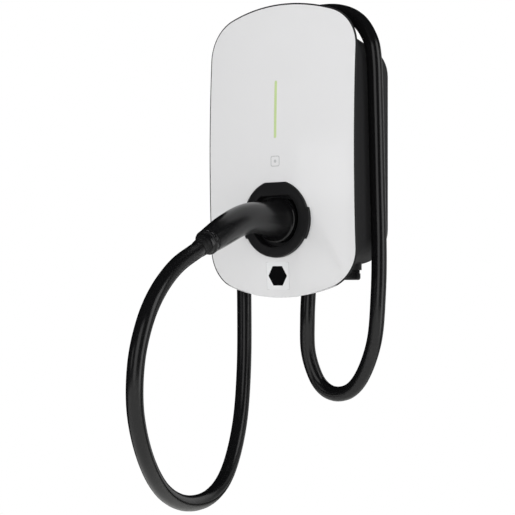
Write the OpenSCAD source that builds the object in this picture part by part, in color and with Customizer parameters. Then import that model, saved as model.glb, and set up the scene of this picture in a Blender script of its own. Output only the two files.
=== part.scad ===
// Wall-mounted electric vehicle charger with a tethered cable and a holstered plug.
// Frame: +X right and +Z up as seen from the front, the wall is the plane Y = 0 and the
// charger stands out of it towards -Y. Most pieces are drawn in the wall frame of
// on_wall(), where x is right, y is up and z is the distance from the wall.

/* [Front panel] */
// Width of the front panel
panel_w = 213; // [206:1:230]
// Height of the front panel
panel_h = 352; // [340:1:390]
// Radius of the arched top and bottom edges
panel_end_r = 231; // [210:1:300]
// Radius of the panel's corners
panel_corner_r = 49; // [35:1:60]
// Thickness of the panel
panel_t = 4; // [3:0.5:5]
// Radius of the panel's bow from top to bottom
panel_bow_r = 2000; // [1700:50:3000]
// Radius of the panel's crown from side to side
panel_crown_r = 600; // [500:20:900]
// Distance from the cover to the middle of the panel's face
panel_stand = 17.5; // [16:0.5:24]
// Height of the ribs' lower edge over the cover
rib_gap = 3; // [2:0.5:5]
// Width of the light bar
light_w = 3.4; // [2:0.2:6]
// Length of the light bar
light_l = 68.5; // [50:0.5:80]
// Distance from the panel's top to the middle of the light bar
light_down = 127; // [116:1:132]
// Width of the reader board
reader_w = 70; // [60:1:76]
// Height of the reader board
reader_h = 36; // [30:1:38]

/* [Housing] */
// Width of the housing at its open front
housing_w = 184; // [176:1:196]
// Height of the housing at its open front
housing_h = 292; // [280:1:310]
// Depth of the housing, without its cover
housing_d = 93; // [88:1:95]
// Corner radius of the housing at the front
housing_corner_r = 30; // [24:1:40]
// Corner radius of the housing at the wall
rear_corner_r = 42; // [32:1:50]
// How much narrower the housing is at the wall
taper_w = 5; // [2:1:10]
// How much lower the housing is at the wall
taper_h = 22; // [10:1:26]
// Thickness of the housing's walls
wall_t = 3; // [2.5:0.5:4]
// Depth of the recess behind the housing's back wall
recess_d = 10; // [8:0.5:14]
// Width of the rim that carries the cover
rim_w = 7; // [6:0.5:9]
// Thickness of the cover
cover_t = 4; // [3.5:0.5:5]

/* [Holster] */
// Height of the holster's axis above the panel's bottom edge
holster_up = 94; // [88:1:98]
// Outer radius of the bezel
bezel_r = 46; // [42:0.5:50]
// Height of the bezel's flat top over its axis
bezel_flat = 43.5; // [40:0.5:45]
// How far the bezel stands proud of the middle of the panel's face
bezel_proud = 2; // [0:0.5:6]
// Radius of the recess in the bezel
recess_r = 34; // [32:0.5:37]
// Depth of the recess in the bezel
recess_depth = 12; // [8:0.5:15]
// Thickness of the cup's wall
cup_t = 2.5; // [2:0.5:4]

/* [Plug] */
// How far the nose's end lies behind the bezel's face
nose_sink = 4.5; // [3:0.5:8]
// Radius of the plug's nose
nose_r = 28.2; // [26:0.1:30]
// Height of the nose's flat top over its axis
nose_flat = 23.2; // [21:0.1:25]
// Length of the nose inside the holster
nose_l = 50; // [45:1:54]
// Radius of the power contacts' bores
contact_r = 4.1; // [3.5:0.1:4.5]
// Length of the contacts
contact_l = 30; // [24:1:36]

/* [Cable] */
// Diameter of the charging cable
cable_d = 18.5; // [14:0.5:20]
// Sides of the cable's tube
cable_sides = 10; // [8:1:12]

/* [Glands] */
// Distance from the wall to the glands' axes
gland_d = 42; // [38:1:46]
// Distance of the supply gland from the middle
supply_x = 58; // [50:1:62]
// Radius of the supply gland's bore
supply_bore_r = 8; // [6:0.5:9]

/* [Wall bracket] */
// Width of the wall bracket
bracket_w = 126; // [110:1:140]
// Height of the wall bracket
bracket_h = 190; // [170:1:200]
// Thickness of the bracket's steel
bracket_t = 2.5; // [2:0.5:3]
// Spacing of the wall holes across
hole_dx = 90; // [70:1:100]
// Spacing of the wall holes up and down
hole_dz = 130; // [110:1:150]
// Radius of the wall holes
hole_r = 3.3; // [2.5:0.1:4]

/* [Boards] */
// Width of the main board
board_w = 150; // [140:1:156]
// Height of the main board
board_h = 200; // [190:1:206]
// Thickness of every circuit board
board_t = 1.6; // [1:0.2:2]
// Height of the posts under the main board
board_post = 11; // [8:1:14]

/* [Hidden] */

$fn = 64;
eps = 0.01;      // overlap that makes two drawn shapes one solid
gap = 0.4;       // clearance round loose pieces
slide = 0.1;     // clearance of a screw or contact in its bore
arc_step = 5;    // degrees between the points of an outline's arc

gloss_white = "#f4f4f2";
satin_black = "#26272a";
soft_black = "#1b1b1d";
steel = "#b9bcc0";
board_green = "#1f5c3a";
light_green = "#a6d84a";

// Depths from the wall
cover_d = housing_d + cover_t;           // front of the cover
back_d = recess_d + wall_t;              // inner face of the housing's back wall
board_d = back_d + board_post;           // back of the main board
parts_d = board_d + board_t;             // face of the main board
post_d = cover_d + 2;                    // seat of the panel's studs
panel_face_d = cover_d + panel_stand;    // middle of the panel's face
bezel_d = panel_face_d + bezel_proud;    // face of the bezel
step_d = bezel_d - recess_depth;         // floor of the bezel's recess
head_d = bezel_d - nose_sink;            // where the nose meets the handle
tip_d = head_d - nose_l;                 // tip of the nose, on the floor of the cup

// Heights
holster_z = holster_up - panel_h / 2;
light_z = panel_h / 2 - light_down;
reader_z = holster_z + bezel_flat + reader_h / 2 + 2.5;

// Half sizes
housing_x = housing_w / 2;
housing_y = housing_h / 2;

// Places of the fixings, in the wall frame
stud_at = [for (x = [-1, 1], y = [-108, 24, 108]) [x * (y == 24 ? 80 : 72), y]];
rib_x = 60;
rib_y = 124;
cover_screw_at = concat(
    [for (x = [-1, 1], y = [-1, 1]) let (in = housing_corner_r - 21 / sqrt(2))
        [x * (housing_x - in), y * (housing_y - in)]],
    [for (x = [-1, 1]) [x * (housing_x - 8), -10]]);
holster_screw_at = [for (a = [45:90:315]) [40 * cos(a), holster_z + 40 * sin(a)]];
poles = 5;                               // supply and output terminals
pole_pitch = 8;
output_term_y = -52;
sensor_y = -90;
sensor_t = 14;
sensor_gap = 1;                          // clearance between the current sensor and the board
cup_gap = 2.1;                           // clearance between the current sensor and the holster's cup
jacket_z = -118;                         // end of the cable's jacket inside the housing
board_post_at = [for (x = [-1, 1], y = [-1, 0, 1]) [x * (board_w / 2 - 8), y * (board_h / 2 - 8)]];
hook_at = [-40, 40];
bracket_screw_at = [[-40, -78], [40, -78]];
small_contact_r = contact_r * 0.65;
contact_at = [[-15.5, 0], [0, 0], [15.5, 0], [-8, -13.5], [8, -13.5]];
small_contact_at = [[-7, 11.5], [7, 11.5]];

// Gland sizes: seat on the housing's underside, thread, nut and length below the seat
pad_z = -143;
pad_top_z = -131;
flange_t = 4;
nut_lip = 3;
locknut_t = 5;
output_thread_r = 15;
output_nut_r = 17;
output_end_z = -168;
output_seal_l = 6;
supply_thread_r = 11.5;
supply_nut_r = 14.6;
supply_end_z = -155;
supply_seal_l = 2;
output_bore_r = cable_d / 2 + 0.25;

// Route of the cable's middle line, from the output gland to the boot on the plug
route = [
    [0, -42, -168], [-3, -40, -203], [-8, -31, -243], [-2, -24, -274], [10, -22, -290],
    [27, -22, -296], [46, -22, -292], [62, -23, -278], [77, -26, -253], [89, -31, -222],
    [97, -38, -180], [101, -42, -125], [101, -46, -30], [101, -50, 60], [101, -54, 110],
    [95, -54, 134], [79, -54, 156], [52, -53, 169], [16, -52, 172], [-22, -51, 168],
    [-57, -50, 159], [-85, -48, 141], [-101, -46, 115], [-103, -44, 78], [-102, -42, 20],
    [-101, -42, -80], [-98, -43, -188], [-93, -51, -271], [-84, -73, -339], [-73, -112, -391],
    [-60, -164, -413], [-46, -227, -411], [-30, -287, -388], [-13, -336, -347], [0, -368, -295],
    [9, -378, -243], [12, -368, -200], [10, -344, -167], [6, -308, -140], [3, -266, -121]];
// Sections of the handle: distance from the nose, rise over the holster's axis, half height, half width
handle_sections = [[0, -1.2, 26.8, 28], [2.2, -1.2, 26.8, 28], [2.9, -1.1, 25.6, 26.7], [5, -0.6, 24.8, 25.6],
    [12, -1, 22, 22.8], [23, -0.5, 19.8, 20.6], [38, 0.3, 18.7, 19.5], [56, -0.7, 18, 18.8],
    [72, -4.5, 17.6, 18.3], [87, -10, 17.3, 17.8], [102, -16, 17, 17.2], [116, -21.8, 16.3, 16.4],
    [126, -26, 15.4, 15.4], [133, -29, 14.7, 14.7]];
function handle_mid(s) = [max(0, s[0] - 90) * 0.0465, -head_d - s[0], holster_z + s[1]];
handle_end = handle_mid(handle_sections[len(handle_sections) - 1]);

// The cable's last stretch follows the plug when the holster moves
plug_home = [2, -245, -111];
plug_lead = 10;
function led(i) = max(0, (i - len(route) + 1) / plug_lead + 1) * (handle_end - plug_home);
cable_line = [for (i = [0:len(route) - 1]) route[i] + led(i)];
cable_end = cable_line[len(cable_line) - 1];
tail_l = norm(cable_end - handle_end);
nut_dir = (cable_end - handle_end) / tail_l;
nut_l = 11.5;

// ---- Frames, outlines and sweeps ----

// Wall frame: x right, y up, z out of the wall
module on_wall() rotate([90, 0, 0]) children();

module at_each(places, d) for (p = places) translate([p[0], p[1], d]) children();

// Points of an arc round c, from angle a0 to angle a1
function arc(c, r, a0, a1) =
    let (n = max(2, ceil(abs(a1 - a0) / arc_step)))
    [for (i = [0:n]) c + r * [cos(a0 + (a1 - a0) * i / n), sin(a0 + (a1 - a0) * i / n)]];

// Panel outline: straight sides, round corners and arched ends, all tangent
corner_x = panel_w / 2 - panel_corner_r;
end_y = panel_h / 2 - panel_end_r;
corner_y = end_y + sqrt(pow(panel_end_r - panel_corner_r, 2) - corner_x * corner_x);
tangent_a = atan2(corner_y - end_y, corner_x);
quarter = concat(
    arc([corner_x, corner_y], panel_corner_r, 0, tangent_a),
    [for (i = [1:4]) let (a = tangent_a + (90 - tangent_a) * i / 4)
        [panel_end_r * cos(a), end_y + panel_end_r * sin(a)]]);
function reversed(list) = [for (i = [len(list) - 1:-1:0]) list[i]];
function flipped(list, sx, sy) = [for (p = list) [p[0] * sx, p[1] * sy]];
panel_outline = concat(quarter, flipped([for (i = [1:len(quarter) - 1]) reversed(quarter)[i]], -1, 1),
    flipped(quarter, -1, -1), flipped([for (i = [1:len(quarter) - 1]) reversed(quarter)[i]], 1, -1));

// Crowned strip t deep under the panel's face, across the panel and half wide each way
function crown(t, half) = let (a = asin(half / panel_crown_r), n = 30)
    concat(
        [for (i = [0:n]) let (b = -a + 2 * a * i / n) panel_crown_r * [cos(b), sin(b)]],
        [for (i = [n:-1:0]) let (b = -a + 2 * a * i / n) (panel_crown_r - t) * [cos(b), sin(b)]]);

// Body under the panel's doubly curved face, t deep, as far as half each way across
module panel_skin(t, half) {
    sweep = asin((panel_h / 2 + 6) / (panel_bow_r - 60));
    translate([0, 0, panel_face_d - panel_bow_r]) rotate([0, -90, 0]) rotate([0, 0, -sweep])
        rotate_extrude(angle = 2 * sweep, $fn = 720)
            translate([panel_bow_r - panel_crown_r, 0]) polygon(crown(t, half));
}

// Distance from the wall to the middle of the panel's thickness at x, y
function panel_mid_d(x, y) =
    let (ring = panel_bow_r - panel_crown_r + sqrt(pow(panel_crown_r - panel_t / 2, 2) - x * x))
    panel_face_d - panel_bow_r + sqrt(ring * ring - y * y);

// Rounded rectangle with true arcs
module round_rect(w, h, r) {
    square([w - 2 * r, h], center = true);
    square([w, h - 2 * r], center = true);
    for (x = [-1, 1], y = [-1, 1]) translate([x * (w / 2 - r), y * (h / 2 - r)]) circle(r = r);
}

// Upright slot with round ends
module slot(w, l) {
    square([w, l - w], center = true);
    for (y = [-1, 1]) translate([0, y * (l - w) / 2]) circle(d = w);
}

// Share of the housing's taper at a distance from the wall: 0 at the wall, 1 at the front
function draft(d) = d / housing_d;
function width_at(d) = housing_w - taper_w * (1 - draft(d));
function height_at(d) = housing_h - taper_h * (1 - draft(d));
function radius_at(d) = rear_corner_r + (housing_corner_r - rear_corner_r) * draft(d);

// Tapered block with the housing's outline moved in by inset, from d0 to d1
module housing_block(d0, d1, inset) {
    hull() for (d = [d0, d1 - eps]) translate([0, 0, d]) linear_extrude(eps)
        round_rect(width_at(d) - 2 * inset, height_at(d) - 2 * inset, radius_at(d) - inset, $fn = 48);
}

// Cover outline and its rings
module cover_outline(inset) {
    round_rect(housing_w - 2 * inset, housing_h - 2 * inset, housing_corner_r - inset, $fn = 96);
}

// Round outline with a flat top
module d_shape(r, flat) intersection() {
    circle(r = r, $fn = 96);
    translate([-r - 1, -r - 1]) square([2 * r + 2, r + 1 + flat]);
}

// Bezel outline with a finger lug on each side, grown by more
module bezel_outline(more) {
    d_shape(bezel_r + more, bezel_flat + more);
    intersection() {
        circle(r = bezel_r + 2.4 + more, $fn = 96);
        translate([-bezel_r - 5, -23 - more]) square([2 * bezel_r + 10, 35 + 2 * more]);
    }
}

// Point of a smooth curve through the points of p, i whole spans and t of the next
function curve_point(p, i, t) = let (
    n = len(p) - 1, b = p[i], c = p[min(i + 1, n)],
    a = i > 0 ? p[i - 1] : 2 * b - c, d = i + 2 <= n ? p[i + 2] : 2 * c - b)
    0.5 * (2 * b + (c - a) * t + (2 * a - 5 * b + 4 * c - d) * t * t + (3 * b - a - 3 * c + d) * t * t * t);
function smooth(p, steps) = concat(
    [for (i = [0:len(p) - 2], k = [0:steps - 1]) curve_point(p, i, k / steps)], [p[len(p) - 1]]);
function unit(v) = v / norm(v);
function heading(p, i) = unit(p[min(i + 1, len(p) - 1)] - p[max(i - 1, 0)]);

// Side direction that stays square to each heading along the points p
function carried(u, t) = unit(u - (u * t) * t);
function sides_along(p, u, i = 0, list = []) = i == len(p) ? list :
    let (v = carried(u, heading(p, i))) sides_along(p, v, i + 1, concat(list, [v]));

// Round tube of radius r with n sides along the points of line, its end rings square to a and b
function tube_rings(line, r, n, side, a, b) = let (sides = sides_along(line, side), last = len(line) - 1)
    [for (i = [0:last]) let (
        t = i == 0 ? a : i == last ? b : heading(line, i), u = carried(sides[i], t), v = cross(t, u))
        [for (k = [0:n - 1]) line[i] + r * (cos(-360 * k / n) * u + sin(-360 * k / n) * v)]];

// Closed skin through rings of equal count
module skin(rings) {
    n = len(rings[0]);
    m = len(rings);
    polyhedron(points = [for (r = rings) each r], faces = concat(
        [[for (k = [n - 1:-1:0]) k]],
        [for (i = [0:m - 2], k = [0:n - 1]) [i * n + k, i * n + (k + 1) % n,
            (i + 1) * n + (k + 1) % n, (i + 1) * n + k]],
        [[for (k = [0:n - 1]) (m - 1) * n + k]]), convexity = 10);
}

// Vertical piece on a gland axis, from z upwards
module on_gland(x, z) translate([x, -gland_d, z]) children();

module hex(across, h) cylinder(r = across / sqrt(3), h = h, $fn = 6);

// ---- Front panel and what shows through it ----

module front_panel() {
    color(gloss_white) on_wall() {
        difference() {
            intersection() {
                panel_skin(panel_t, panel_w / 2 + 3);
                translate([0, 0, housing_d]) linear_extrude(2 * panel_stand) polygon(panel_outline);
            }
            translate([0, light_z, cover_d]) linear_extrude(2 * panel_stand)
                slot(light_w + 0.2, light_l + 0.2);
            translate([0, holster_z, cover_d]) linear_extrude(2 * panel_stand) bezel_outline(gap);
        }
        panel_ribs();
        for (p = stud_at) translate([p[0], p[1], 0]) {
            top = panel_mid_d(p[0], p[1]);
            translate([0, 0, post_d]) cylinder(r = 4.5, h = top - post_d);
            translate([0, 0, housing_d + 1]) cylinder(r = 2.4, h = post_d - housing_d);
        }
    }
}

// Ribs across the back of the panel, as far up as the middle of its thickness
module panel_ribs() intersection() {
    translate([0, 0, -panel_t / 2]) panel_skin(2 * panel_stand, panel_w / 2 - 6);
    translate([0, 0, cover_d + rib_gap]) linear_extrude(panel_stand) difference() {
        union() {
            for (x = [-1, 1]) translate([x * rib_x - 0.9, -rib_y]) square([1.8, 2 * rib_y]);
            for (y = [-rib_y, light_z + light_l / 2 + 14, rib_y])
                translate([-rib_x, y - 0.9]) square([2 * rib_x, 1.8]);
        }
        translate([0, holster_z]) circle(r = bezel_r + 6);
    }
}

module light_bar() {
    flange_d = post_d + board_t + 0.8;
    color(light_green) on_wall() {
        intersection() {
            panel_skin(2 * panel_stand, 12);
            translate([0, light_z, flange_d]) linear_extrude(2 * panel_stand)
                slot(light_w, light_l);
        }
        translate([0, light_z, flange_d]) linear_extrude(1.6) square([9, light_l + 8], center = true);
        for (y = [-1, 1]) translate([-4.5, light_z + y * (light_l / 2 + 2.5) - 1.5, post_d + board_t])
            cube([9, 3, 1.2]);
    }
}

module light_board() {
    color(board_green) on_wall() {
        translate([0, light_z, post_d]) linear_extrude(board_t)
            round_rect(16, light_l + 18, 2);
        for (i = [-3.5:1:3.5]) translate([-1.4, light_z + i * light_l / 8 - 1.7, post_d + board_t - eps])
            cube([2.8, 3.4, 0.6]);
    }
}

module reader_board() {
    color(board_green) on_wall() translate([0, reader_z, post_d]) {
        linear_extrude(board_t) round_rect(reader_w, reader_h, 3);
        for (i = [0:2]) translate([0, 0, board_t - eps]) linear_extrude(0.3) difference() {
            round_rect(reader_w - 6 - 5 * i, reader_h - 6 - 5 * i, 2);
            round_rect(reader_w - 8 - 5 * i, reader_h - 8 - 5 * i, 1);
        }
        translate([-5, -5, board_t - eps]) cube([10, 10, 1.2]);
    }
}

// ---- Cover, seal and holster ----

module front_cover() {
    color(satin_black) on_wall() difference() {
        union() {
            translate([0, 0, housing_d]) linear_extrude(cover_t) cover_outline(0);
            at_each(stud_at, cover_d - eps) cylinder(r = 7, h = post_d - cover_d + eps);
            for (y = [-1, 1]) translate([0, light_z + y * (light_l / 2 + 5), cover_d - eps])
                cylinder(r = 5, h = post_d - cover_d + eps);
            for (x = [-1, 1], y = [-1, 1])
                translate([x * (reader_w / 2 - 6), reader_z + y * (reader_h / 2 - 5), cover_d - eps])
                    cylinder(r = 3.5, h = post_d - cover_d + eps);
        }
        at_each(stud_at, housing_d - 1) cylinder(r = 2.4 + slide, h = 10);
        at_each(cover_screw_at, housing_d - 1) cylinder(r = 2.2, h = 10);
        at_each(cover_screw_at, cover_d - 2) cylinder(r = 3.8, h = 5);
        at_each(holster_screw_at, housing_d - 1) cylinder(r = 1.7, h = 10);
        translate([0, holster_z, housing_d - 1]) linear_extrude(10)
            d_shape(nose_r + gap + cup_t + gap, nose_flat + gap + cup_t + gap);
    }
}

module cover_seal() {
    color(soft_black) on_wall() translate([0, 0, housing_d - 2]) linear_extrude(2) difference() {
        cover_outline(rim_w / 2 - 1);
        cover_outline(rim_w / 2 + 1);
    }
}

// Pan-head screw, head up, with its seat at z = 0
module screw(r, head_r, head_h, l) {
    cylinder(r = head_r, h = head_h);
    translate([0, 0, -l]) cylinder(r = r, h = l + eps);
}

module cover_screws() {
    color(steel) on_wall() at_each(cover_screw_at, cover_d - 2) screw(1.9, 3.5, 1.9, 14);
}

module holster() {
    color(satin_black) on_wall() translate([0, holster_z, 0]) difference() {
        union() {
            translate([0, 0, cover_d]) linear_extrude(bezel_d - 1.2 - cover_d) bezel_outline(0);
            translate([0, 0, bezel_d - 1.2 - eps]) linear_extrude(1.2 + eps) bezel_outline(-1);
            translate([0, 0, tip_d - cup_t]) linear_extrude(cover_d - tip_d + cup_t + eps)
                d_shape(nose_r + gap + cup_t, nose_flat + gap + cup_t);
        }
        translate([0, 0, step_d]) linear_extrude(2 * recess_depth) d_shape(recess_r, recess_r - 6.5);
        translate([0, 0, tip_d]) linear_extrude(nose_l) d_shape(nose_r + gap, nose_flat + gap);
        translate([0, 0, cover_d - 1]) linear_extrude(bezel_d - 3.2 - cover_d) difference() {
            d_shape(bezel_r - 2.5, bezel_flat - 2.5);
            circle(r = recess_r + 2.5);
            for (a = [45:90:315]) rotate(a) translate([40, 0]) circle(r = 4.4);
        }
        translate([0, -holster_z, 0]) at_each(holster_screw_at, cover_d - 1) cylinder(r = 1.6, h = 10);
    }
}

module holster_screws() {
    color(steel) on_wall() at_each(holster_screw_at, housing_d) mirror([0, 0, 1])
        screw(1.5, 3, 2.2, 10);
}

// ---- Housing and wall bracket ----

module housing() {
    color(satin_black) difference() {
        union() {
            on_wall() difference() {
                housing_block(0, housing_d, 0);
                housing_block(back_d, housing_d - 6, wall_t);
                translate([0, 0, housing_d - 6 - eps]) linear_extrude(7) cover_outline(rim_w);
                housing_block(-1, recess_d, wall_t);
            }
            on_wall() at_each(cover_screw_at, housing_d - 30) cylinder(r = 5, h = 30);
            on_wall() at_each(board_post_at, back_d - eps) cylinder(r = 4, h = board_post + eps);
            on_wall() recess_ribs();
            on_gland(0, pad_z) cylinder(r = 19, h = pad_top_z - pad_z);
            on_gland(supply_x, pad_z) cylinder(r = 16, h = pad_top_z - pad_z);
        }
        on_wall() translate([0, 0, housing_d - 2]) linear_extrude(3) difference() {
            cover_outline(rim_w / 2 - 1.1);
            cover_outline(rim_w / 2 + 1.1);
        }
        on_wall() at_each(cover_screw_at, housing_d - 16) cylinder(r = 1.95, h = 20);
        on_wall() at_each(board_post_at, back_d) cylinder(r = 1.45, h = 20);
        on_wall() at_each(bracket_screw_at, recess_d - 1) cylinder(r = 2.6, h = wall_t + 2);
        on_wall() for (x = hook_at) translate([x - 11, 57, recess_d - 1]) cube([22, 12, wall_t + 2]);
        on_gland(0, pad_z - 1) cylinder(r = output_thread_r + 0.2, h = 20);
        on_gland(supply_x, pad_z - 1) cylinder(r = supply_thread_r + 0.2, h = 20);
        on_gland(supply_x, pad_top_z) cylinder(r = 17.4, h = 12);
    }
}

// Ribs in the recess behind the back wall, clear of the bracket
module recess_ribs() {
    translate([0, 0, bracket_t + 1.5]) linear_extrude(recess_d - bracket_t - 1.5 + eps) {
        for (x = [-70, 70]) translate([x - 1, -115]) square([2, 230]);
        for (y = [-100, -30, 30, 100]) translate([-70, y - 1]) square([140, 2]);
    }
}

module wall_bracket() {
    color(steel) on_wall() difference() {
        union() {
            linear_extrude(bracket_t) round_rect(bracket_w, bracket_h, 8);
            for (x = hook_at) translate([x - 10, 69 - bracket_t, 0]) {
                cube([20, bracket_t, back_d + 0.3 + bracket_t]);
                translate([0, 0, back_d + 0.3]) cube([20, bracket_t + 7, bracket_t]);
            }
            at_each(bracket_screw_at, 0) cylinder(r = 6, h = recess_d);
        }
        for (x = [-1, 1], y = [-1, 1]) translate([x * hole_dx / 2, y * hole_dz / 2, -1])
            cylinder(r = hole_r, h = bracket_t + 2);
        at_each(bracket_screw_at, -1) cylinder(r = 2.05, h = 20);
        translate([0, 0, -1]) linear_extrude(bracket_t + 2) round_rect(30, 64, 8);
    }
}

module bracket_screws() {
    color(steel) on_wall() at_each(bracket_screw_at, back_d) screw(2, 4, 2.6, back_d - 1);
}

// ---- Electronics ----

module main_board() {
    color(board_green) on_wall() translate([0, 0, board_d]) difference() {
        linear_extrude(board_t) round_rect(board_w, board_h, 4);
        at_each(board_post_at, -1) cylinder(r = 1.7, h = 5);
    }
}

module board_screws() {
    color(steel) on_wall() at_each(board_post_at, parts_d) screw(1.4, 2.8, 2, 8);
}

// Box on the main board, x and y at its middle
module on_board(x, y, w, h, t) translate([x - w / 2, y - h / 2, parts_d]) cube([w, h, t]);

module relays() {
    color("#3b6fb0") on_wall() for (x = [-46, -14], y = [0, 36]) on_board(x, y, 28, 32, 24);
}

// Row of clamp terminals: a stepped block with an entry and a screw shaft for each pole
module terminals(x, y, poles) {
    w = poles * pole_pitch;
    difference() {
        union() {
            on_board(x, y, w, 22, 16);
            on_board(x, y + 3, w, 16, 24);
        }
        for (i = [0:poles - 1]) translate([x - w / 2 + (i + 0.5) * pole_pitch, y, parts_d]) {
            translate([0, 3, 7]) cylinder(r = 2.6, h = 20);
            translate([0, 3, 7]) rotate([90, 0, 0]) cylinder(r = 3, h = 20);
        }
    }
}

module supply_terminals() color("#c9ccd0") on_wall() terminals(40, -84, poles);

module output_terminals() color("#c9ccd0") on_wall() terminals(0, output_term_y, poles);

// Ring round the leads, with a foot on the board
module current_sensor() {
    r = min(gland_d - parts_d - sensor_gap, tip_d - cup_t - cup_gap - gland_d);
    color("#2b2b2e") on_gland(0, sensor_y - sensor_t / 2) difference() {
        union() {
            cylinder(r = r, h = sensor_t);
            translate([-12, 0, 0]) cube([24, gland_d - parts_d, sensor_t]);
        }
        translate([0, 0, -1]) cylinder(r = 9, h = sensor_t + 2);
    }
}

module power_supply() {
    color("#e0b23a") on_wall() {
        on_board(42, 60, 34, 38, 6);
        translate([42, 60, parts_d + 6 - eps]) linear_extrude(16) round_rect(26, 30, 3);
    }
}

module capacitors() {
    color("#20242c") on_wall() for (y = [-6, 12, 30]) translate([34, y, parts_d]) cylinder(r = 7, h = 24);
}

module radio_module() {
    color(steel) on_wall() {
        on_board(-44, 78, 30, 24, 1);
        translate([0, 0, 1 - eps]) on_board(-44, 78, 26, 18, 3);
    }
}

// ---- Cable glands ----

// Terminal that each core goes to, so that no two cores cross
function lane_rank(i) = [2, 0, 1, 3, 4][i];

module core(line) {
    skin(tube_rings(line, 1.6, 6, [1, 0, 0], [0, 0, 1], [0, 0, 1]));
}

module gland_body(x, thread_r, across, bore_r, low_z) {
    top_z = pad_top_z + locknut_t + 1;
    difference() {
        union() {
            on_gland(x, pad_z - flange_t) hex(across, flange_t);
            on_gland(x, pad_z - flange_t) cylinder(r = thread_r, h = top_z - pad_z + flange_t);
            on_gland(x, low_z) cylinder(r = thread_r - 1, h = pad_z - low_z);
        }
        on_gland(x, low_z - 1) cylinder(r = bore_r, h = top_z - low_z + 2);
    }
}

// Compression nut with a rounded lower edge and grip flats
module gland_nut(x, nut_r, inner_r, bore_r, end_z) {
    h = pad_z - flange_t - end_z;
    on_gland(x, end_z) difference() {
        rotate_extrude() difference() {
            union() {
                translate([bore_r, 3]) square([nut_r - bore_r, h - 3]);
                translate([bore_r, 0]) square([nut_r - 3 - bore_r, 4]);
                translate([nut_r - 3, 3]) circle(r = 3, $fn = 32);
            }
            translate([0, nut_lip]) square([inner_r + slide, h]);
        }
        for (a = [0:30:330]) rotate([0, 0, a]) translate([nut_r + 0.9, 0, 4]) cylinder(r = 1.5, h = 30, $fn = 24);
    }
}

module gland_seal(x, outer_r, bore_r, end_z, l) {
    on_gland(x, end_z + nut_lip) difference() {
        cylinder(r = outer_r, h = l);
        translate([0, 0, -1]) cylinder(r = bore_r, h = l + 2);
    }
}

module locknut(x, across, thread_r) {
    on_gland(x, pad_top_z) difference() {
        hex(across, locknut_t);
        translate([0, 0, -1]) cylinder(r = thread_r + slide, h = 10);
    }
}

module output_gland() {
    color(satin_black) gland_body(0, output_thread_r, 32, output_bore_r,
        output_end_z + nut_lip + output_seal_l);
}

module output_gland_nut() {
    color(satin_black) gland_nut(0, output_nut_r, output_thread_r - 1, output_bore_r, output_end_z);
}

module output_gland_seal() {
    color(soft_black) gland_seal(0, output_thread_r - 1, cable_d / 2 + 0.05, output_end_z, output_seal_l);
}

module output_locknut() color(satin_black) locknut(0, 34, output_thread_r);

// Jacket through the gland, and its cores through the current sensor to the terminals
module output_leads() {
    color(soft_black) {
        on_gland(0, output_end_z) cylinder(r = cable_d / 2, h = jacket_z - output_end_z);
        for (i = [0:poles - 1]) let (
            a = 90 + 360 * i / poles, x = 4.5 * cos(a), d = gland_d + 4.5 * sin(a),
            end = [(lane_rank(i) - 2) * pole_pitch, parts_d + 7],
            path = [[x, -d, jacket_z], [x, -d, sensor_y + 12], [end[0] * 0.6 + x * 0.4, -end[1] - 3, sensor_y + 24],
                [end[0], -end[1], output_term_y - 14], [end[0], -end[1], output_term_y - 2]])
            core(smooth(path, 3));
    }
}

module supply_gland() {
    color(satin_black) gland_body(supply_x, supply_thread_r, 27, supply_bore_r,
        supply_end_z + nut_lip + supply_seal_l);
}

module supply_gland_nut() {
    color(satin_black) gland_nut(supply_x, supply_nut_r, supply_thread_r - 1, supply_bore_r, supply_end_z);
}

module supply_gland_seal() {
    color(soft_black) gland_seal(supply_x, supply_thread_r - 1, supply_bore_r, supply_end_z, supply_seal_l);
}

module supply_locknut() color(satin_black) locknut(supply_x, 29, supply_thread_r);

// ---- Plug and cable ----

module plug_nose() {
    color(soft_black) on_wall() translate([0, holster_z, 0]) difference() {
        translate([0, 0, tip_d]) linear_extrude(nose_l) d_shape(nose_r, nose_flat);
        translate([0, 0, tip_d - 1]) linear_extrude(5) d_shape(nose_r - 2.4, nose_flat - 2.4);
        at_each(contact_at, tip_d) cylinder(r = contact_r, h = contact_l + 8);
        at_each(small_contact_at, tip_d) cylinder(r = small_contact_r, h = contact_l + 8);
    }
}

// Socket contact: a sleeve with a closed end
module contact(r) difference() {
    cylinder(r = r - slide, h = contact_l);
    translate([0, 0, -1]) cylinder(r = r * 0.72, h = contact_l - 4);
}

module plug_contacts() {
    color(steel) on_wall() translate([0, holster_z, tip_d + 8]) {
        at_each(contact_at, 0) contact(contact_r);
        at_each(small_contact_at, 0) contact(small_contact_r);
    }
}

// Section i of the handle, an ellipse square to the axis
function handle_ring(i) = let (
    mids = [for (s = handle_sections) handle_mid(s)], last = len(mids) - 1, s = handle_sections[i],
    t = i < 3 ? [0, -1, 0] : i == last ? nut_dir : heading(mids, i),
    u = unit(cross(t, [0, 0, 1])), v = cross(u, t))
    [for (k = [0:39]) let (a = 9 * k) mids[i] + s[3] * cos(a) * u + s[2] * sin(a) * v];

module plug_handle() color(satin_black) skin([for (i = [0:len(handle_sections) - 1]) handle_ring(i)]);

// Piece of revolution on the axis of the handle's end, z running towards the cable
module on_tail() {
    tilt = acos(nut_dir[2]);
    turn = atan2(nut_dir[1], nut_dir[0]);
    translate(handle_end) rotate([0, 0, turn]) rotate([0, tilt, 0]) children();
}

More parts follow.
